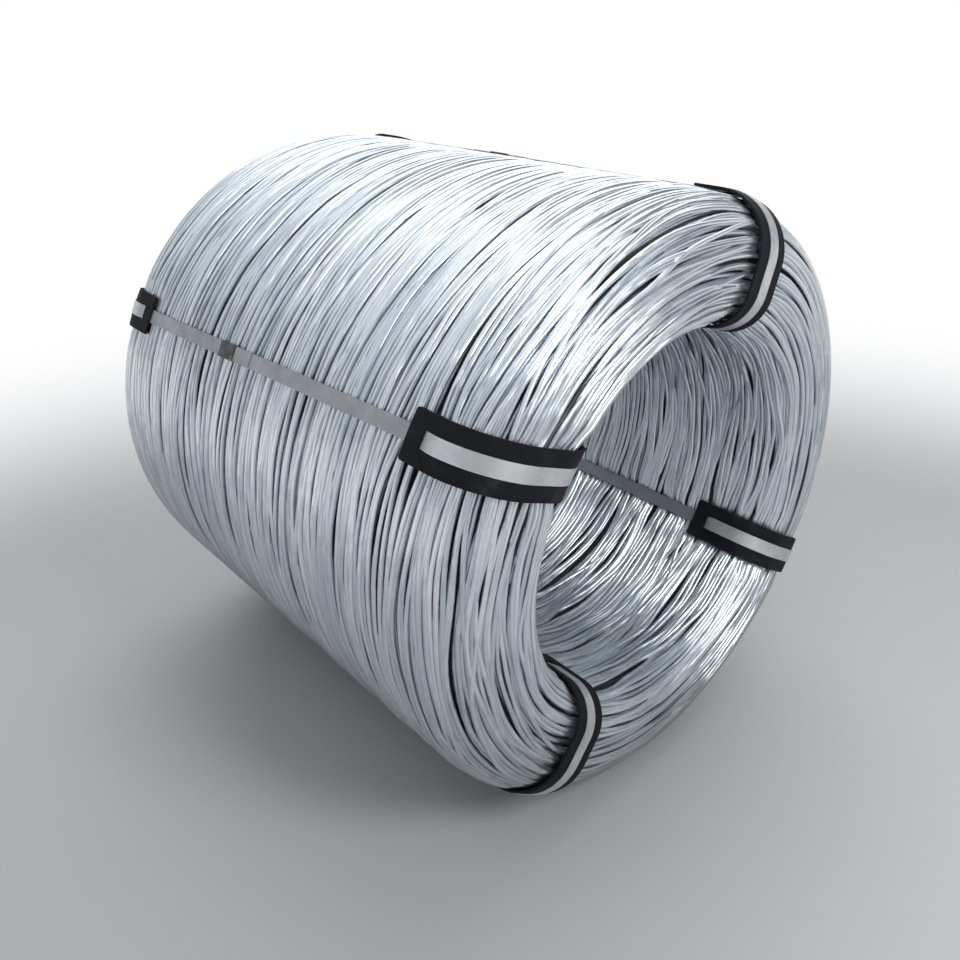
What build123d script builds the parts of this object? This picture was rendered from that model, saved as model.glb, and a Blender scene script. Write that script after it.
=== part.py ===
"""Coil of galvanized steel wire lying on its side, bound lengthwise by four steel straps over edge pads.

The coil's axis lies along X and the coil rests on the plane Z = 0. Angles go round the axis from the front
(-Y) over the top, and the straps are placed by them.
"""

import math
import os

from build123d import *

# Wire coil: a turned ring with a round lip at each end
coil_diameter = 800.0
bore_diameter = 480.0
coil_length = 800.0
outer_lip_share = 0.45
bore_lip_share = 0.3125
wire_diameter = 6.5
turn_relief = 1.5

# Steel strap: a flat band with its two ends lapped under a seal
strap_width = 19.0
strap_thickness = 0.8
strap_seat = 0.4
strap_lead = 12.0
strap_lap = 110.0

# Edge pad: a strip bent over the lip, with a window near each end that the strap threads through
pad_width = 56.0
pad_thickness = 3.0
pad_seat = 0.4
pad_flat_outside = 39.0
pad_flat_bore = 67.0
pad_bar_share = 0.55
pad_window_share = 0.42
pad_corner_radius = 3.0
strap_side_clearance = 0.6
strap_face_clearance = 0.3

# Depth to which pads and straps are bedded in the turns of the bore wall, and the room beside them there
bore_bed = 3.5
bed_side_clearance = 0.6
bed_lip_clearance = 0.4
furrow_clearance = 0.5

# Seal: a sheet sleeve folded round the lapped strap and nicked at both sides
seal_length = 34.0
seal_wall = 0.8
seal_clearance = 0.2
seal_seat = 0.25
seal_seam = 6.0
seal_nick_depth = 1.4
seal_nick_width = 4.0
seal_nick_spacing = 15.0
seal_place = -68.0

# Angle of each strap round the axis at its ends, in degrees; the front strap slants from one end to the
# other, and leans from the radius over its right end
front_right_angle = 32.5
front_right_lean = 10.0
front_left_angle = 27.0
top_angle = 108.3
back_angle = 211.4
bottom_angle = 306.8

# Twist of a slanting strap within each of the straight lengths that it is made up of, in degrees, and the
# number of lengths in each of its rounds over a lip
twist_step_angle = 0.3
lip_steps = 12

# Length by which a cutting body passes the surface that it cuts
overrun = 10.0

coil_radius = coil_diameter / 2
bore_radius = bore_diameter / 2
bed_radius = bore_radius + bore_bed
half_length = coil_length / 2
wall_thickness = coil_radius - bore_radius
outer_lip_radius = outer_lip_share * wall_thickness
bore_lip_radius = bore_lip_share * wall_thickness
middle_radius = (coil_radius - outer_lip_radius + bed_radius + bore_lip_radius) / 2
end_flat = wall_thickness - outer_lip_radius - bore_lip_radius
pad_top = pad_seat + pad_thickness
strap_on_pad = pad_top + strap_face_clearance
bar_underside = strap_seat + strap_thickness + strap_face_clearance
strap_at_seal = seal_seat + seal_wall + seal_clearance
outer_strap_radius = coil_radius + strap_seat + strap_thickness / 2
bore_strap_radius = bed_radius - strap_seat - strap_thickness / 2
pad_end_bar = pad_bar_share * pad_flat_outside
pad_window = pad_window_share * pad_flat_outside
pad_end_outside = half_length - outer_lip_radius - pad_flat_outside
pad_end_bore = half_length - bore_lip_radius - pad_flat_bore


def end_point(distance, level):
    """Point over the right end, at a distance along its outline from the barrel and a level off the coil."""
    outer_arc = outer_lip_radius * math.pi / 2
    if distance < outer_arc:
        turn = distance / outer_lip_radius
        reach = outer_lip_radius + level
        return (
            half_length - outer_lip_radius + reach * math.sin(turn),
            coil_radius - outer_lip_radius + reach * math.cos(turn),
        )
    if distance < outer_arc + end_flat:
        return (half_length + level, coil_radius - outer_lip_radius - (distance - outer_arc))
    turn = (distance - outer_arc - end_flat) / bore_lip_radius
    reach = bore_lip_radius + level
    return (
        half_length - bore_lip_radius + reach * math.cos(turn),
        bore_radius + bore_lip_radius - reach * math.sin(turn),
    )


def turns_over_end():
    """Edges of the right end's outline, with one round ridge for each turn of wire that shows there."""
    outline = (outer_lip_radius + bore_lip_radius) * math.pi / 2 + end_flat
    turns = round(outline / wire_diameter)
    pitch = outline / turns
    ridge_radius = (pitch**2 / 4 + turn_relief**2) / (2 * turn_relief)
    shoulder = ridge_radius - math.sqrt(ridge_radius**2 - (pitch / 4) ** 2)
    first = (end_point(0, 0), end_point(pitch / 4, -shoulder), end_point(pitch / 2, -turn_relief))
    edges = [ThreePointArc(*first)]
    for turn in range(1, turns):
        middle = turn * pitch
        before = end_point(middle - pitch / 2, -turn_relief)
        after = end_point(middle + pitch / 2, -turn_relief)
        edges.append(ThreePointArc(before, end_point(middle, 0), after))
    last_valley = end_point(outline - pitch / 2, -turn_relief)
    edges.append(ThreePointArc(last_valley, end_point(outline - pitch / 4, -shoulder), end_point(outline, 0)))
    return edges


def lip_line(level):
    """Edges that follow the right lip at one level off the coil, from the barrel to the bedded bore wall."""
    outer_center = (half_length - outer_lip_radius, coil_radius - outer_lip_radius)
    bore_center = (half_length - bore_lip_radius, bed_radius + bore_lip_radius)
    outer_arc = CenterArc(outer_center, outer_lip_radius + level, 90, -90)
    bore_arc = CenterArc(bore_center, bore_lip_radius + level, 0, -90)
    return [outer_arc, Line(outer_arc @ 1, bore_arc @ 0), bore_arc]


def pad_line(level):
    """Edges along the right pad and a little past both its ends, at one level off the coil."""
    lip = lip_line(level)
    barrel = Line((pad_end_outside - overrun, coil_radius + level), lip[0] @ 0)
    wall = Line(lip[-1] @ 1, (pad_end_bore - overrun, bed_radius - level))
    return [barrel, *lip, wall]


def band_face(inner_line, outer_line):
    """Upright face between two lines that run side by side, closed across both ends."""
    first = Line(inner_line[0] @ 0, outer_line[0] @ 0)
    last = Line(inner_line[-1] @ 1, outer_line[-1] @ 1)
    return Plane.XZ * make_face([first, last, *inner_line, *outer_line])


def swept(face, width, lean):
    """Body turned from a face about the axis, wide enough to hold a strip of the given width and lean."""
    half_sweep = abs(lean) + math.degrees(math.asin((width / 2 + overrun) / (bore_radius - overrun)))
    return Rot(X=-half_sweep) * revolve(face, Axis.X, revolution_arc=2 * half_sweep)


def leaning(body, lean):
    """Body turned from the radius by an angle, about the middle of the end's flat."""
    return Pos(0, 0, middle_radius) * Rot(X=lean) * Pos(0, 0, -middle_radius) * body


def angle_at(angle, lean, radius):
    """Angle round the axis at which a leaning strap crosses a radius."""
    offset = middle_radius * math.sin(math.radians(lean))
    return angle + math.degrees(math.asin(offset / radius)) - lean


def strip():
    """Upright bodies of the right pad's plan, outside and in the bore, split at the middle of the lip."""
    bodies = []
    for start, near, far in (
        (pad_end_outside, middle_radius, coil_radius + overrun),
        (pad_end_bore, bore_radius - overrun, middle_radius),
    ):
        stop = half_length + overrun
        body = Box(stop - start, pad_width, far - near)
        body = fillet(body.edges().filter_by(Axis.Z).group_by(Axis.X)[0], pad_corner_radius)
        bodies.append(Pos((start + stop) / 2, 0, (near + far) / 2) * body)
    return bodies


def make_pad(lean):
    """Right pad above the axis: an even strip on the round lip, with windows and channels for the strap."""
    ring = swept(band_face(pad_line(pad_seat), pad_line(pad_top)), pad_width, lean)
    outside, inside = [ring & leaning(body, lean) for body in strip()]
    pad = outside + inside
    width = strap_width + 2 * strap_side_clearance
    length = pad_end_bar + pad_window / 2 + overrun
    height = bar_underside + overrun
    for end, wall, out in ((pad_end_outside, coil_radius, 1), (pad_end_bore, bed_radius, -1)):
        window = Box(pad_window, width, pad_top + 2 * overrun)
        window = Pos(end + pad_end_bar + pad_window / 2, 0, wall + out * pad_top / 2) * window
        pad -= leaning(window, lean)
        middle_x = end + length / 2 - overrun
        middle_level = wall + out * (bar_underside - height / 2)
        channel = swept(Plane.XZ * (Pos(middle_x, middle_level) * Rectangle(length, height)), width, lean)
        pad -= channel & leaning(Pos(middle_x, 0, middle_level) * Box(length, width, 2 * height), lean)
    return pad


def make_bed(lean):
    """What the right pad's bore half displaces in the turns of the bore wall and its lip."""
    center_x = half_length - bore_lip_radius - turn_relief - bed_lip_clearance
    lip = CenterArc((center_x, bed_radius + bore_lip_radius), bore_lip_radius, 0, -90)
    top = bed_radius + bore_lip_radius
    low = bore_radius - overrun
    left = pad_end_bore - bed_side_clearance
    right = half_length + overrun
    corners = [lip @ 1, (left, bed_radius), (left, low), (right, low), (right, top), lip @ 0]
    edges = [Line(*pair) for pair in zip(corners, corners[1:])]
    width = pad_width + 2 * bed_side_clearance
    body = swept(Plane.XZ * make_face([lip, *edges]), width, lean)
    reach = right - left + 2 * overrun
    middle = ((left + right) / 2, 0, (low + top) / 2)
    return body & leaning(Pos(*middle) * Box(reach, width, top - low + 2 * overrun), lean)


def at_angle(angle):
    """Turn that carries a body from above the axis to an angle round the coil."""
    return Rot(X=90 - angle)


def section(x, angle, radius, thickness, width):
    """Rectangle across a strap at a place along the axis, standing outward from the given radius."""
    plane = Plane((x, 0, radius + thickness / 2), x_dir=(0, 1, 0), z_dir=(1, 0, 0))
    return at_angle(angle) * (plane * Rectangle(width, thickness))


def run(start, stop, thickness, width):
    """Length of strap between two places, each given as x, angle and radius of the underside."""
    steps = max(1, math.ceil(abs(stop[1] - start[1]) / twist_step_angle))
    sections = []
    for step in range(steps + 1):
        place = [low + (high - low) * step / steps for low, high in zip(start, stop)]
        sections.append(section(*place, thickness, width))
    return loft(sections, ruled=True)


def angle_along(angles, x, end):
    """Angle of a strap at a place on its free length, which goes evenly from one end to the other."""
    right_angle, left_angle = angles
    return left_angle + (right_angle - left_angle) * (x + end) / (2 * end)


def over_lip(angle, lean):
    """Lengths of a strap on the pad over the right lip: two rounds with a straight between them."""
    middle = strap_on_pad + strap_thickness / 2
    outer_lip = (half_length - outer_lip_radius, coil_radius - outer_lip_radius, outer_lip_radius + middle, 0)
    bore_lip = (half_length - bore_lip_radius, bed_radius + bore_lip_radius, bore_lip_radius + middle, 90)
    rounds = []
    for center_x, center_radius, reach, first in (outer_lip, bore_lip):
        slices = []
        for step in range(lip_steps + 1):
            turn = math.radians(first + 90 * step / lip_steps)
            radius = center_radius + reach * math.cos(turn)
            place = (center_x + reach * math.sin(turn), 0, radius)
            plane = Plane(place, x_dir=(0, 1, 0), z_dir=(math.cos(turn), 0, -math.sin(turn)))
            turned = at_angle(angle_at(angle, lean, radius))
            slices.append(turned * (plane * Rectangle(strap_width, strap_thickness)))
        rounds.append(slices)
    straight = loft([rounds[0][-1], rounds[1][0]], ruled=True)
    return loft(rounds[0]) + straight + loft(rounds[1])


def make_hook(angle, lean):
    """Right end of a strap, bent over the pad and threaded through its windows."""
    bore_low = bore_strap_radius - strap_thickness / 2
    bore_high = bed_radius - strap_on_pad - strap_thickness
    outer_low = outer_strap_radius - strap_thickness / 2
    outer_high = coil_radius + strap_on_pad
    outside = [
        (pad_end_outside - strap_lead, outer_low),
        (pad_end_outside + pad_end_bar, outer_low),
        (pad_end_outside + pad_end_bar + pad_window, outer_high),
        (half_length - outer_lip_radius, outer_high),
    ]
    inside = [
        (pad_end_bore - strap_lead, bore_low),
        (pad_end_bore + pad_end_bar, bore_low),
        (pad_end_bore + pad_end_bar + pad_window, bore_high),
        (half_length - bore_lip_radius, bore_high),
    ]
    hook = over_lip(angle, lean)
    for places in (outside, inside):
        stations = []
        for x, radius in places:
            stations.append((x, angle_at(angle, lean, radius + strap_thickness / 2), radius))
        for pair in zip(stations, stations[1:]):
            hook += run(*pair, strap_thickness, strap_width)
    return hook


def make_strap(right_hook, left_hook, outer_angles, bore_angles):
    """Closed strap: a hook over each lip, a length through the bore and a lapped length outside."""
    strap = right_hook + left_hook
    bore_end = pad_end_bore - strap_lead
    bore_level = bore_strap_radius - strap_thickness / 2
    left = (-bore_end, bore_angles[1], bore_level)
    right = (bore_end, bore_angles[0], bore_level)
    strap += run(left, right, strap_thickness, strap_width)
    outer_end = pad_end_outside - strap_lead
    lap_start = seal_place - strap_lap / 2
    lap_stop = seal_place + strap_lap / 2
    stations = [(-outer_end, outer_angles[1], coil_radius + strap_seat)]
    for x in (lap_start, lap_stop):
        stations.append((x, angle_along(outer_angles, x, outer_end), coil_radius + strap_at_seal))
    stations.append((outer_end, outer_angles[0], coil_radius + strap_seat))
    for index, layers in enumerate((1, 2, 1)):
        strap += run(stations[index], stations[index + 1], layers * strap_thickness, strap_width)
    return strap


def make_furrow(bore_angles):
    """What a strap's length through the bore displaces in the turns of the bore wall."""
    right_angle, left_angle = bore_angles
    end = pad_end_bore + pad_end_bar / 2
    turn = pad_end_bore - strap_lead
    depth = bore_bed + furrow_clearance + overrun
    level = bed_radius + furrow_clearance - depth
    places = [(-end, left_angle), (-turn, left_angle), (turn, right_angle), (end, right_angle)]
    stations = [(*place, level) for place in places]
    width = strap_width + 2 * bed_side_clearance
    first, middle, last = [run(*pair, depth, width) for pair in zip(stations, stations[1:])]
    return first + middle + last


def make_seal(angles):
    """Sleeve round the lapped strap, open along its underside, with two nicks in each side."""
    height = 2 * (strap_thickness + seal_clearance)
    width = strap_width + 2 * seal_clearance
    seal = Box(seal_length, width + 2 * seal_wall, height + 2 * seal_wall)
    seal -= Box(seal_length + overrun, width, height)
    seal -= Pos(0, 0, -height / 2) * Box(seal_length + overrun, seal_seam, 2 * (seal_wall + seal_clearance))
    half_width = width / 2 + seal_wall
    for x in (-seal_nick_spacing / 2, seal_nick_spacing / 2):
        for side in (-1, 1):
            tip = side * (half_width - seal_nick_depth)
            edge = side * half_width
            corners = [(x, tip), (x - seal_nick_width / 2, edge), (x + seal_nick_width / 2, edge)]
            nick = extrude(make_face(Polyline(*corners, close=True)), height + 2 * seal_wall, both=True)
            seal -= nick
    outer_end = pad_end_outside - strap_lead
    angle = angle_along(angles, seal_place, outer_end)
    middle = coil_radius + strap_at_seal + strap_thickness
    drift = middle * math.radians(angles[0] - angles[1]) / (2 * outer_end)
    skew = math.degrees(math.atan(drift))
    return at_angle(angle) * Pos(seal_place, 0, middle) * Rot(Z=skew) * seal


right_turns = turns_over_end()
left_turns = [mirror(edge, about=Plane.YZ) for edge in right_turns]
barrel_line = Line(left_turns[0] @ 0, right_turns[0] @ 0)
bore_line = Line(left_turns[-1] @ 1, right_turns[-1] @ 1)
coil = revolve(Plane.XZ * make_face([barrel_line, bore_line, *right_turns, *left_turns]), Axis.X)

strap_ends = {
    "front": ((front_right_angle, front_right_lean), (front_left_angle, 0)),
    "top": ((top_angle, 0), (top_angle, 0)),
    "back": ((back_angle, 0), (back_angle, 0)),
    "bottom": ((bottom_angle, 0), (bottom_angle, 0)),
}
pieces = {}
for place, ends in strap_ends.items():
    hooks = []
    for side, (angle, lean) in zip(("right", "left"), ends):
        bodies = [at_angle(angle) * make_pad(lean), at_angle(angle) * make_bed(lean), make_hook(angle, lean)]
        if side == "left":
            bodies = [mirror(body, about=Plane.YZ) for body in bodies]
        pieces[f"{place}_pad_{side}"] = bodies[0]
        coil -= bodies[1]
        hooks.append(bodies[2])
    outer_angles = [angle_at(*end, outer_strap_radius) for end in ends]
    bore_angles = [angle_at(*end, bore_strap_radius) for end in ends]
    coil -= make_furrow(bore_angles)
    pieces[f"{place}_strap"] = make_strap(*hooks, outer_angles, bore_angles)
    pieces[f"{place}_seal"] = make_seal(outer_angles)
pieces["wire_coil"] = coil

os.makedirs("parts", exist_ok=True)
for name, piece in pieces.items():
    export_step(Pos(0, 0, coil_radius) * piece, f"parts/{name}.step")
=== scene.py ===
"""Dresses the strapped coil of galvanized wire and sets the studio for its picture."""

import math

import bpy
import numpy as np
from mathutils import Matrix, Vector


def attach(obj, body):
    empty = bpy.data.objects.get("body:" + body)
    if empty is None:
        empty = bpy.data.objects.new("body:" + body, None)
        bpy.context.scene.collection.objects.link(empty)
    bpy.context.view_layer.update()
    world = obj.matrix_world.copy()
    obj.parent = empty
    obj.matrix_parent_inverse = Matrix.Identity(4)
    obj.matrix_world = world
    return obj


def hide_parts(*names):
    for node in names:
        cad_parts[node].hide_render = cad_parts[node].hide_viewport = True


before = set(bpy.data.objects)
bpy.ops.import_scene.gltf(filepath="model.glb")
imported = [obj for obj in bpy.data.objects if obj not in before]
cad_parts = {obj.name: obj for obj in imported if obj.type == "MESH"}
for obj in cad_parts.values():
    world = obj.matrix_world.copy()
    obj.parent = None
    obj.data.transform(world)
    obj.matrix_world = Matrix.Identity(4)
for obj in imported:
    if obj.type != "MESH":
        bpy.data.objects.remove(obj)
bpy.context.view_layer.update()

# Wire coil: bright zinc-coated drawn wire, some hundreds of turns that wander, bunch and cross a little.
# The turns are closed tubes that run round the axis on the coil's rounded section, one beside the other.
# Deeper turns show in the gaps over a near-black core, which is painted shade for the coil's depth, and the
# turns give way under the straps and pads.
COIL_R, BORE_R, HALF = 0.400, 0.240, 0.400
LIP_OUT, LIP_IN = 0.072, 0.050
AXIS_Z = 0.400
WIRE_R, WIRE_SIDES = 0.00325, 6
TURN = 2 * math.pi
END_FLAT = COIL_R - BORE_R - LIP_OUT - LIP_IN
LENGTHS = [2 * (HALF - LIP_OUT), LIP_OUT * TURN / 4, END_FLAT, LIP_IN * TURN / 4]
LENGTHS += [2 * (HALF - LIP_IN), LIP_IN * TURN / 4, END_FLAT, LIP_OUT * TURN / 4]
STARTS = np.concatenate([[0], np.cumsum(LENGTHS)])
PERIMETER = STARTS[-1]
rng = np.random.default_rng(41)


def outline(s, level):
    """Place along the axis and distance from it, at s round the section and a level off its surface."""
    s = np.mod(s, PERIMETER)
    past = [s - start for start in STARTS[:-1]]
    bend = {1: past[1] / LIP_OUT, 3: past[3] / LIP_IN, 5: past[5] / LIP_IN, 7: past[7] / LIP_OUT}
    half_out, half_in = HALF - LIP_OUT, HALF - LIP_IN
    reach_out, reach_in = LIP_OUT + level, LIP_IN + level
    x = [
        -half_out + past[0],
        half_out + reach_out * np.sin(bend[1]),
        HALF + level,
        half_in + reach_in * np.cos(bend[3]),
        half_in - past[4],
        -half_in - reach_in * np.sin(bend[5]),
        -HALF - level,
        -half_out - reach_out * np.cos(bend[7]),
    ]
    rho = [
        COIL_R + level,
        COIL_R - LIP_OUT + reach_out * np.cos(bend[1]),
        COIL_R - LIP_OUT - past[2],
        BORE_R + LIP_IN - reach_in * np.sin(bend[3]),
        BORE_R - level,
        BORE_R + LIP_IN - reach_in * np.cos(bend[5]),
        BORE_R + LIP_IN + past[6],
        COIL_R - LIP_OUT + reach_out * np.sin(bend[7]),
    ]
    stretch = np.searchsorted(STARTS[1:-1], s, side="right")
    x = np.choose(stretch, [np.broadcast_to(part, s.shape) for part in x])
    rho = np.choose(stretch, [np.broadcast_to(part, s.shape) for part in rho])
    return x, rho


def waves(count, cycles, turns):
    """Random set of waves over the section and round the coil: cycles, turns, phase and size of each."""
    return (
        rng.integers(*cycles, count) * rng.choice([-1, 1], count),
        rng.integers(*turns, count),
        rng.uniform(0, TURN, count),
        rng.uniform(0.5, 1.0, count),
    )


def field(s, theta, wave):
    """Smooth value, mostly between -1 and 1, over the section and round the coil."""
    total = np.zeros(np.broadcast(s, theta).shape)
    for cycles, turns_round, phase, size in zip(*wave):
        total += size * np.cos(TURN * cycles * s / PERIMETER + turns_round * theta + phase)
    return total / math.sqrt(2 * np.sum(wave[3] ** 2))


def ripple(count, theta, orders, size):
    """Own wander of each turn: waves of the given orders round the coil, with random sizes and phases."""
    total = np.zeros((count, len(theta)))
    for order in orders:
        sizes = size / math.sqrt(order) * rng.normal(0, 1, (count, 1))
        phases = rng.uniform(0, TURN, (count, 1))
        total += sizes * np.cos(order * theta + phases)
    return total


# Angle of each strap round the axis, in degrees, at its right and left ends.
STRAP_ANGLES = {
    "front": (32.5, 27.0),
    "top": (108.3, 108.3),
    "back": (211.4, 211.4),
    "bottom": (306.8, 306.8),
}
FRONT_LEAN, LEAN_R = math.radians(10), 0.31075
SLANT_LENGTH = 0.55
PAD_START, EDGE_EASE = 0.262, 0.02
PAD_BED, PAD_SLOPE = 0.050, 0.018
STRAP_BED, STRAP_SLOPE = 0.026, 0.014
PAD_PRESS_BORE, STRAP_PRESS_BORE, PAD_PRESS_OUTSIDE = 0.0047, 0.0050, 0.0022


def ease(distance, width):
    """Value that rises from 0 to 1 as a distance goes from nothing to a width."""
    return np.clip(distance / width, 0, 1)


def bedding(s, theta):
    """How far the pads and straps press the turns down."""
    x, rho = outline(s, 0)
    inside = ease(COIL_R - LIP_OUT - rho, EDGE_EASE)
    press = np.zeros(s.shape)
    for place, (right, left) in STRAP_ANGLES.items():
        lean = FRONT_LEAN if place == "front" else 0
        left_end = math.radians(left)
        right_end = math.radians(right) - lean + np.arcsin(LEAN_R * math.sin(lean) / rho)
        centre = left_end + (right_end - left_end) * np.clip(x / SLANT_LENGTH + 0.5, 0, 1)
        off = np.abs((theta - centre + TURN / 2) % TURN - TURN / 2) * rho
        pad = ease(PAD_BED - off, PAD_SLOPE) * ease(np.abs(x) - PAD_START, EDGE_EASE)
        strap = ease(STRAP_BED - off, STRAP_SLOPE)
        in_bore = inside * np.maximum(PAD_PRESS_BORE * pad, STRAP_PRESS_BORE * strap)
        outside = (1 - inside) * PAD_PRESS_OUTSIDE * pad
        press = np.maximum(press, np.maximum(in_bore, outside))
    return press


def place_mesh(name, points, quads):
    """New object in the scene, from arrays of points and of faces with four corners."""
    mesh = bpy.data.meshes.new(name)
    mesh.from_pydata(points.reshape(-1, 3), [], quads.reshape(-1, 4))
    obj = bpy.data.objects.new(name, mesh)
    bpy.context.scene.collection.objects.link(obj)
    return obj


def tubes(name, s, level, theta):
    """Closed turns of wire as one mesh, from arrays of turns by points; each turn carries random shades."""
    nudge = 1e-4
    x, rho = outline(s, level)
    ahead, behind, above = outline(s + nudge, level), outline(s - nudge, level), outline(s, level + nudge)
    along = np.stack([ahead[0] - behind[0], ahead[1] - behind[1]])
    along /= np.linalg.norm(along, axis=0)
    out = np.stack([above[0] - x, above[1] - rho])
    out /= np.linalg.norm(out, axis=0)
    side = np.arange(WIRE_SIDES) * TURN / WIRE_SIDES
    px = x[..., None] + WIRE_R * (np.cos(side) * out[0][..., None] + np.sin(side) * along[0][..., None])
    pr = rho[..., None] + WIRE_R * (np.cos(side) * out[1][..., None] + np.sin(side) * along[1][..., None])
    angle = np.broadcast_to(theta, s.shape)[..., None]
    points = np.stack([px, -pr * np.cos(angle), AXIS_Z + pr * np.sin(angle)], axis=-1)
    grid = (*s.shape, WIRE_SIDES)
    index = np.arange(math.prod(grid)).reshape(grid)
    beside, onward = np.roll(index, -1, axis=2), np.roll(index, -1, axis=1)
    quads = np.stack([onward, np.roll(beside, -1, axis=1), beside, index], axis=-1)
    obj = place_mesh(name, points, quads)
    obj.data.shade_smooth()
    shades = np.ones((*grid, 4), np.float32)
    shades[..., :3] = rng.uniform(0, 1, (len(s), 1, 1, 3))
    turn = obj.data.color_attributes.new("turn", "FLOAT_COLOR", "POINT")
    turn.data.foreach_set("color", shades.ravel())
    return obj


# Wander that neighbouring turns share: sideways sway, and swell that lets some lie deeper.
sway = waves(34, (6, 44), (1, 7))
swell = waves(30, (10, 60), (1, 9))
SWAY, SWELL_SHARE, BOUNCE_SHARE = 0.0062, 0.7, 0.45
WANDER_ORDERS, BOUNCE_ORDERS = range(2, 20), range(2, 16)


def lay(s0, theta, tilt, wander, rough):
    """Where each turn lies: its place round the section with shared and own wander, and its level."""
    count = len(s0)
    s = s0[:, None] + SWAY * field(s0[:, None], theta, sway)
    s += tilt[:, None] * np.cos(theta + rng.uniform(0, TURN, (count, 1)))
    s += ripple(count, theta, WANDER_ORDERS, wander)
    level = -np.abs(rng.normal(0, rough, (count, 1)))
    level = level - SWELL_SHARE * rough * (1 + field(s0[:, None], theta, swell))
    level = np.minimum(level + ripple(count, theta, BOUNCE_ORDERS, BOUNCE_SHARE * rough), 0)
    return s, level - WIRE_R - bedding(s, np.broadcast_to(theta, s.shape))


# Stretches of the section with the points in each turn there, and layers with their pitch, share of the
# points and depth.
ZONES = {
    "barrel": (STARTS[0], STARTS[1], 148),
    "right_lip": (STARTS[1], STARTS[4], 148),
    "bore": (STARTS[4], STARTS[5], 140),
    "left_lip": (STARTS[5], STARTS[8], 148),
}
LAYERS = {"turns": (0.0066, 1.0, 0.0003), "under_turns": (0.0073, 0.62, 0.0046)}
JITTER = 0.22
LOOSE_SHARE, LOOSE_TILT, TIGHT_TILT = 0.25, 0.0065, 0.0018
WANDER, ROUGH = 0.0010, 0.0009
turns = []
for zone, (start, stop, points) in ZONES.items():
    for layer, (pitch, share, depth) in LAYERS.items():
        count = round((stop - start) / pitch)
        steps = round(share * points)
        theta = np.arange(steps) * TURN / steps
        order = np.arange(count) + 0.5 + rng.uniform(-JITTER, JITTER, count)
        s0 = start + order * (stop - start) / count
        lean_size = rng.normal(0, 1, count)
        loose = rng.uniform(0, 1, count) < LOOSE_SHARE
        tilt = lean_size * np.where(loose, LOOSE_TILT, TIGHT_TILT)
        s, level = lay(s0, theta, tilt, WANDER, ROUGH)
        turns.append(tubes(f"{zone}_{layer}", s, level - depth, theta))

# Turns that run askew over the others.
CROSSING_COUNT, CROSSING_POINTS = 66, 120
CROSSING_TILTS = (0.008, 0.042)
CROSSING_WANDER, CROSSING_ROUGH = 0.0016, 0.0004
theta = np.arange(CROSSING_POINTS) * TURN / CROSSING_POINTS
s0 = rng.uniform(0, PERIMETER, CROSSING_COUNT)
tilt = rng.uniform(*CROSSING_TILTS, CROSSING_COUNT)
s, level = lay(s0, theta, tilt, CROSSING_WANDER, CROSSING_ROUGH)
turns.append(tubes("crossing_turns", s, level, theta))

# Near-black core, painted shade for the depth of the coil, that closes the gaps between the turns.
CORE_DEPTH, CORE_POINTS, CORE_STEPS = 0.0135, 180, 96
core_s = np.linspace(0, PERIMETER, CORE_POINTS, endpoint=False)
core_x, core_r = outline(core_s, np.full(CORE_POINTS, -CORE_DEPTH))
theta = np.arange(CORE_STEPS) * TURN / CORE_STEPS
grid = (CORE_POINTS, CORE_STEPS)
rings = [np.broadcast_to(core_x[:, None], grid), -core_r[:, None] * np.cos(theta)]
rings.append(AXIS_Z + core_r[:, None] * np.sin(theta))
index = np.arange(math.prod(grid)).reshape(grid)
beside, onward = np.roll(index, -1, axis=1), np.roll(index, -1, axis=0)
quads = np.stack([index, beside, np.roll(beside, -1, axis=0), onward], axis=-1)
core = place_mesh("coil_core", np.stack(rings, axis=-1), quads)


def node(tree, kind, sockets=None, **settings):
    """New shader node with its settings, and its sockets linked to other outputs or set to values."""
    made = tree.nodes.new("ShaderNode" + kind)
    for key, value in settings.items():
        setattr(made, key, value)
    for key, value in (sockets or {}).items():
        if isinstance(value, bpy.types.NodeSocket):
            tree.links.new(value, made.inputs[key])
        else:
            made.inputs[key].default_value = value
    return made


def reckon(tree, operation, *values):
    """Value output of one step of arithmetic."""
    return node(tree, "Math", dict(enumerate(values)), operation=operation).outputs["Value"]


def reckon_vector(tree, operation, *values, output="Vector"):
    """Output of one step of vector arithmetic."""
    return node(tree, "VectorMath", dict(enumerate(values)), operation=operation).outputs[output]


def span(tree, value, start, stop, low=0.0, high=1.0, shape="LINEAR"):
    """Value output that goes from low to high, and no further, as a value goes from start to stop."""
    sockets = {"Value": value, "From Min": start, "From Max": stop, "To Min": low, "To Max": high}
    return node(tree, "MapRange", sockets, interpolation_type=shape).outputs["Result"]


def ramp(tree, value, stops):
    """Colour output of a ramp over a value, with its stops given as positions and colours."""
    made = node(tree, "ValToRGB", {"Fac": value})
    elements = made.color_ramp.elements
    while len(elements) < len(stops):
        elements.new(0.5)
    for element, (position, colour) in zip(elements, stops):
        element.position = position
        element.color = (*colour, 1)
    return made.outputs["Color"]


def mix(tree, share, first, second, blend="MIX"):
    """Colour output that blends a second colour into a first by a share."""
    sockets = {"Fac": share, "Color1": first, "Color2": second}
    return node(tree, "MixRGB", sockets, blend_type=blend).outputs["Color"]


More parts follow.
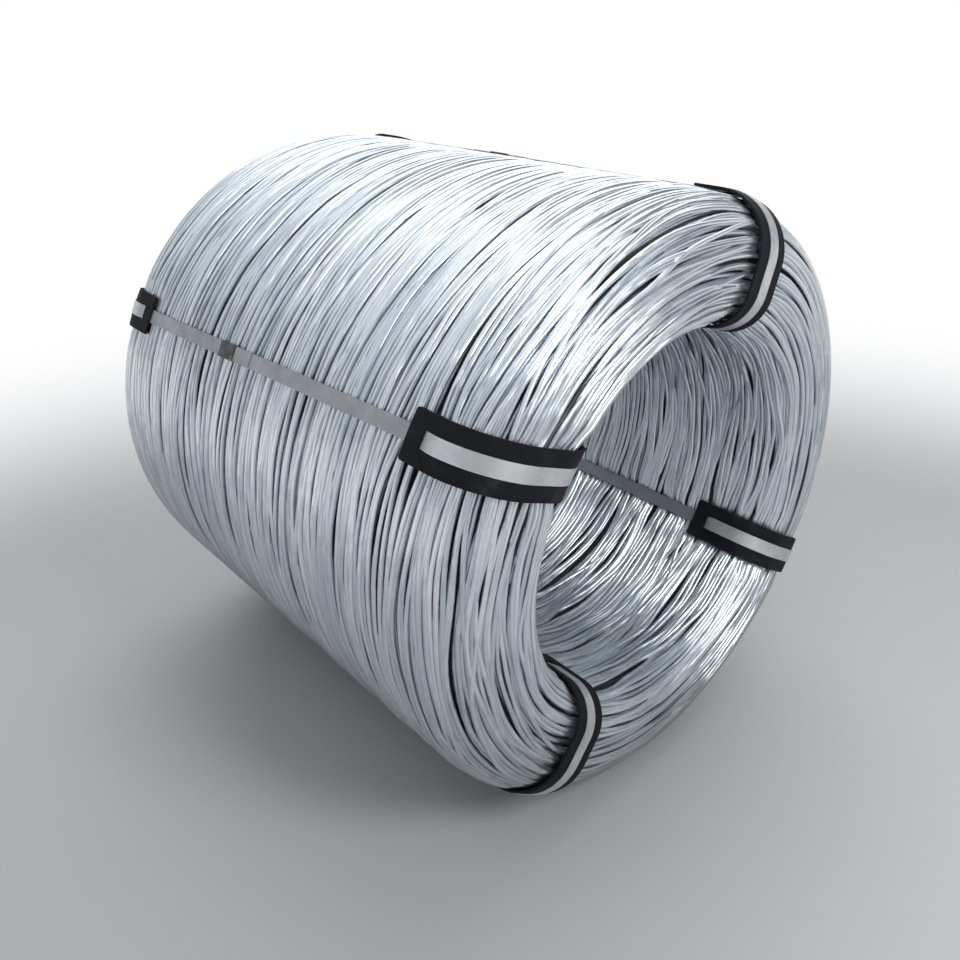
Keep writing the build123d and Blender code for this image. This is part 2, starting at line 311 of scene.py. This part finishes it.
scuffs_group = bpy.data.node_groups.new("scuffs_and_grain", "ShaderNodeTree")
scuffs_group.interface.new_socket("Place", in_out="INPUT", socket_type="NodeSocketVector")
scuffs_group.interface.new_socket("Patches per metre", in_out="INPUT", socket_type="NodeSocketFloat")
scuffs_group.interface.new_socket("Scuffs", in_out="OUTPUT", socket_type="NodeSocketFloat")
scuffs_group.interface.new_socket("Grain", in_out="OUTPUT", socket_type="NodeSocketFloat")
given = scuffs_group.nodes.new("NodeGroupInput").outputs
sockets = {"Vector": given["Place"], "Scale": given["Patches per metre"], "Detail": 5.0, "Roughness": 0.62}
patches = node(scuffs_group, "TexNoise", sockets).outputs["Fac"]
sockets = {"Vector": given["Place"], "Scale": 900.0, "Detail": 2.0}
grain = node(scuffs_group, "TexNoise", sockets).outputs["Fac"]
result = scuffs_group.nodes.new("NodeGroupOutput").inputs
scuffs_group.links.new(patches, result["Scuffs"])
scuffs_group.links.new(grain, result["Grain"])


def marked(tree, place, patches_per_metre):
    """Outputs of the scuffs and grain, placed in one material with its own number of patches."""
    sockets = {"Place": place, "Patches per metre": patches_per_metre}
    return node(tree, "Group", sockets, node_tree=scuffs_group).outputs


def material(name, metallic):
    """New material, its node tree and its surface's sockets."""
    made = bpy.data.materials.new(name)
    made.use_nodes = True
    surface = made.node_tree.nodes["Principled BSDF"].inputs
    surface["Metallic"].default_value = metallic
    return made, made.node_tree, surface


# Each turn has its own shade and its own place in the noise. The outside is painted darker towards the
# floor: painted shade, not a change in the zinc.
zinc, tree, surface = material("zinc_wire", 1.0)
turn_colour = node(tree, "Attribute", attribute_name="turn").outputs["Color"]
shade = node(tree, "SeparateColor", {"Color": turn_colour}).outputs
coords = node(tree, "TexCoord").outputs["Object"]
sockets = {0: (31.0, 17.0, 23.0), "Scale": shade["Red"]}
shift = node(tree, "VectorMath", sockets, operation="SCALE").outputs["Vector"]
place = reckon_vector(tree, "ADD", coords, shift)
marks = marked(tree, place, 11.0)
tone = reckon(tree, "MULTIPLY_ADD", shade["Green"], 0.5, marks["Scuffs"])
zinc_shades = [(0.35, (0.53, 0.585, 0.635)), (0.72, (0.705, 0.755, 0.80)), (1.0, (0.84, 0.875, 0.90))]
colour = ramp(tree, tone, zinc_shades)
height = node(tree, "SeparateXYZ", {"Vector": coords}).outputs["Z"]
from_axis = reckon_vector(tree, "ADD", coords, (0, 0, -AXIS_Z))
from_axis = reckon_vector(tree, "MULTIPLY", from_axis, (0, 1, 1))
from_axis = reckon_vector(tree, "LENGTH", from_axis, output="Value")
# Painted shade: on the outside only, the colour darkens by up to 0.36 from 0.45 m high down to the floor.
underside_painted_shade = span(tree, height, 0.45, 0.05, 0.0, 0.36)
underside_painted_shade = span(tree, from_axis, 0.28, 0.34, 0.0, underside_painted_shade)
colour = mix(tree, 1.0, colour, reckon(tree, "SUBTRACT", 1.0, underside_painted_shade), "MULTIPLY")
tree.links.new(colour, surface["Base Color"])
tree.links.new(span(tree, marks["Scuffs"], 0.25, 0.75, 0.28, 0.46), surface["Roughness"])
bends = node(tree, "TexNoise", {"Vector": place, "Scale": 24.0, "Detail": 1.0}).outputs["Fac"]
bent = node(tree, "Bump", {"Height": bends, "Strength": 1.0, "Distance": 0.0045}).outputs["Normal"]
sockets = {"Height": marks["Grain"], "Normal": bent, "Strength": 0.04, "Distance": 0.0003}
tree.links.new(node(tree, "Bump", sockets).outputs["Normal"], surface["Normal"])

# Painted shade: the core's near-black colour stands in for the shade deep between the turns.
dark, tree, surface = material("coil_depth_painted_shade", 0.0)
coords = node(tree, "TexCoord").outputs["Object"]
sockets = {"Vector": coords, "Scale": 45.0, "Distortion": 2.0}
bands = node(tree, "TexWave", sockets, bands_direction="X").outputs["Fac"]
colour = ramp(tree, bands, [(0, (0.01, 0.011, 0.013)), (1, (0.05, 0.055, 0.06))])
tree.links.new(colour, surface["Base Color"])
surface["Roughness"].default_value = 0.7
core.data.materials.append(dark)
for obj in turns:
    obj.data.materials.append(zinc)
for obj in [*turns, core]:
    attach(obj, "root")
    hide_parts("wire_coil")

# Straps: cold-rolled steel band, 19 by 0.8 mm, dull grey, with fine lines along it from the rolls.
# Each is threaded through the bore and the pads' windows, drawn tight and lapped under a seal.
# Where it runs over the pads it is painted lighter: a painted sheen that stands in for the light it
# reflects there.
# Distance from the middle along the axis over which the strap's painted sheen fades in.
SHEEN_FROM, SHEEN_TO = 0.300, 0.335
steel, tree, surface = material("strap_steel", 0.8)
coords = node(tree, "TexCoord").outputs["Object"]
axes = node(tree, "SeparateXYZ", {"Vector": coords}).outputs
around = reckon(tree, "ARCTAN2", reckon(tree, "SUBTRACT", axes["Z"], AXIS_Z), axes["Y"])
sockets = {"W": around, "Scale": 330.0, "Detail": 3.0}
lines = node(tree, "TexNoise", sockets, noise_dimensions="1D").outputs["Fac"]
marks = marked(tree, coords, 26.0)
tone = reckon(tree, "MULTIPLY_ADD", lines, 0.35, marks["Scuffs"])
dull_shades = [(0.45, (0.27, 0.285, 0.30)), (0.75, (0.36, 0.375, 0.39)), (0.95, (0.46, 0.47, 0.48))]
# Painted sheen: lighter copies of the strap's shades, used where the strap lies over the pads.
sheen_shades = [(0.45, (0.46, 0.475, 0.49)), (0.75, (0.61, 0.62, 0.635)), (0.95, (0.72, 0.73, 0.74))]
painted_sheen = span(tree, reckon(tree, "ABSOLUTE", axes["X"]), SHEEN_FROM, SHEEN_TO)
colour = mix(tree, painted_sheen, ramp(tree, tone, dull_shades), ramp(tree, tone, sheen_shades))
tree.links.new(colour, surface["Base Color"])
tree.links.new(span(tree, marks["Scuffs"], 0.25, 0.75, 0.58, 0.36), surface["Roughness"])
bump = node(tree, "Bump", {"Height": lines, "Strength": 0.15, "Distance": 0.0003})
tree.links.new(bump.outputs["Normal"], surface["Normal"])


def dress(name, finish):
    """Gives a solid of the frame its finish."""
    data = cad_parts[name].data
    data.materials.clear()
    data.materials.append(finish)


for strap_place in STRAP_ANGLES:
    dress(f"{strap_place}_strap", steel)

# Edge pads: black moulded rubber strips, 3 mm thick, with a dusty matt skin and scuffed faces.
# They are bent over the lips and held there by the strap that is threaded through their windows.
rubber, tree, surface = material("pad_rubber", 0.0)
marks = marked(tree, node(tree, "TexCoord").outputs["Object"], 34.0)
dusty = [(0.40, (0.006, 0.0065, 0.009)), (0.60, (0.011, 0.012, 0.016)), (0.78, (0.035, 0.037, 0.042))]
tree.links.new(ramp(tree, marks["Scuffs"], dusty), surface["Base Color"])
tree.links.new(span(tree, marks["Scuffs"], 0.25, 0.75, 0.52, 0.82), surface["Roughness"])
surface["Specular IOR Level"].default_value = 0.12
bump = node(tree, "Bump", {"Height": marks["Grain"], "Strength": 0.25, "Distance": 0.0005})
tree.links.new(bump.outputs["Normal"], surface["Normal"])
for strap_place in STRAP_ANGLES:
    for end in ("right", "left"):
        dress(f"{strap_place}_pad_{end}", rubber)

# Seals: dark sheet-steel sleeves, folded round the lapped strap and nicked at both sides.
# Their oiled skin is rubbed bright in spots by the crimping tool.
sleeve, tree, surface = material("seal_steel", 0.75)
marks = marked(tree, node(tree, "TexCoord").outputs["Object"], 60.0)
oiled_shades = [(0.38, (0.06, 0.066, 0.06)), (0.58, (0.11, 0.118, 0.11)), (0.75, (0.26, 0.27, 0.26))]
tree.links.new(ramp(tree, marks["Scuffs"], oiled_shades), surface["Base Color"])
tree.links.new(span(tree, marks["Scuffs"], 0.25, 0.75, 0.55, 0.34), surface["Roughness"])
bump = node(tree, "Bump", {"Height": marks["Grain"], "Strength": 0.15, "Distance": 0.0003})
tree.links.new(bump.outputs["Normal"], surface["Normal"])
for strap_place in STRAP_ANGLES:
    dress(f"{strap_place}_seal", sleeve)

# Studio: a plain pale floor that runs into a white surround, with a dimmer side to the right of the coil.
# A broad soft light stands behind and above the coil, so that its shadow falls forward, and a smaller one
# lights the bore.
FLOOR_SIZE = 80
PALE_MIDDLE = (0.9, -0.5, 0)
PALE_RADIUS, WHITE_RADIUS = 1.6, 3.0
bpy.ops.mesh.primitive_plane_add(size=FLOOR_SIZE, location=(0, 0, 0))
floor = bpy.context.object
floor.name = "floor"
paint, tree, surface = material("floor_paint", 0.0)
path = node(tree, "LightPath").outputs
seen = reckon(tree, "MAXIMUM", path["Is Camera Ray"], path["Is Glossy Ray"])
seen = reckon(tree, "MAXIMUM", seen, path["Is Transmission Ray"])
coords = node(tree, "TexCoord").outputs["Object"]
reach = reckon_vector(tree, "DISTANCE", coords, PALE_MIDDLE, output="Value")
far = span(tree, reach, PALE_RADIUS, WHITE_RADIUS, shape="SMOOTHSTEP")
glow = reckon(tree, "MULTIPLY", far, seen)
pale = ramp(tree, far, [(0, (0.44, 0.44, 0.44)), (1, (0.86, 0.86, 0.86))])
tree.links.new(mix(tree, glow, pale, (0, 0, 0, 1)), surface["Base Color"])
tree.links.new(glow, surface["Emission Strength"])
surface["Emission Color"].default_value = (1, 1, 1, 1)
surface["Roughness"].default_value = 0.9
surface["Specular IOR Level"].default_value = 0.0
floor.data.materials.append(paint)

PANEL_TOWARD = (-0.20, -0.30, 0.93)
PANEL_COLOUR = (0.88, 0.92, 0.97, 1)
world = bpy.data.worlds.new("surround")
bpy.context.scene.world = world
world.use_nodes = True
tree = world.node_tree
direction = node(tree, "TexCoord").outputs["Generated"]
axes = node(tree, "SeparateXYZ", {"Vector": direction}).outputs
sky_shades = [(0.06, (1.0, 1.0, 1.0)), (0.24, (0.45, 0.47, 0.5)), (0.4, (0.16, 0.17, 0.19))]
screen = span(tree, axes["X"], 0.1, 0.7, 1.0, 0.3)
sky = mix(tree, 1.0, ramp(tree, axes["Z"], sky_shades), screen, "MULTIPLY")
toward = reckon_vector(tree, "DOT_PRODUCT", direction, PANEL_TOWARD, output="Value")
panel = span(tree, toward, 0.53, 0.81, shape="SMOOTHSTEP")
sky = mix(tree, panel, sky, PANEL_COLOUR)
tree.links.new(sky, tree.nodes["Background"].inputs["Color"])


def lamp(name, kind, place, aim, size, power):
    """Soft light that shines from a place towards a point."""
    data = bpy.data.lights.new(name, kind)
    data.energy = power
    if kind == "SUN":
        data.angle = size
    else:
        data.size = size
    obj = bpy.data.objects.new(name, data)
    bpy.context.scene.collection.objects.link(obj)
    obj.location = place
    obj.rotation_euler = (Vector(aim) - Vector(place)).to_track_quat("-Z", "Y").to_euler()


lamp("overhead", "SUN", (-1.2, 1.35, 2.1), (0, 0, AXIS_Z), math.radians(70), 1.6)
lamp("bore_light", "AREA", (1.45, -0.1, 1.35), (0.25, 0.1, 0.2), 0.5, 13.5)

# Camera: placed and framed by the photo's outline of the coil.
# Its lens, shift and place were fitted to the ends' rounds and the barrel's edges.
FRAME_PX, FOCAL_PX, SHIFT_X_PX, SHIFT_Y_PX = 960, 867.9, 8.73, -57.28
SENSOR_MM = 36.0
AZIMUTH, ELEVATION, DISTANCE = math.radians(42.30), math.radians(25.40), 3.369 * COIL_R
camera_data = bpy.data.cameras.new("camera")
camera_data.sensor_width = SENSOR_MM
camera_data.lens = FOCAL_PX / FRAME_PX * SENSOR_MM
camera_data.shift_x = SHIFT_X_PX / FRAME_PX
camera_data.shift_y = SHIFT_Y_PX / FRAME_PX
camera = bpy.data.objects.new("camera", camera_data)
bpy.context.scene.collection.objects.link(camera)
bpy.context.scene.camera = camera
back = Vector((math.cos(AZIMUTH), -math.sin(AZIMUTH), math.tan(ELEVATION))).normalized()
camera.location = Vector((0, 0, AXIS_Z)) + back * DISTANCE
camera.rotation_euler = (-back).to_track_quat("-Z", "Y").to_euler()
bpy.context.scene.view_settings.view_transform = "Standard"
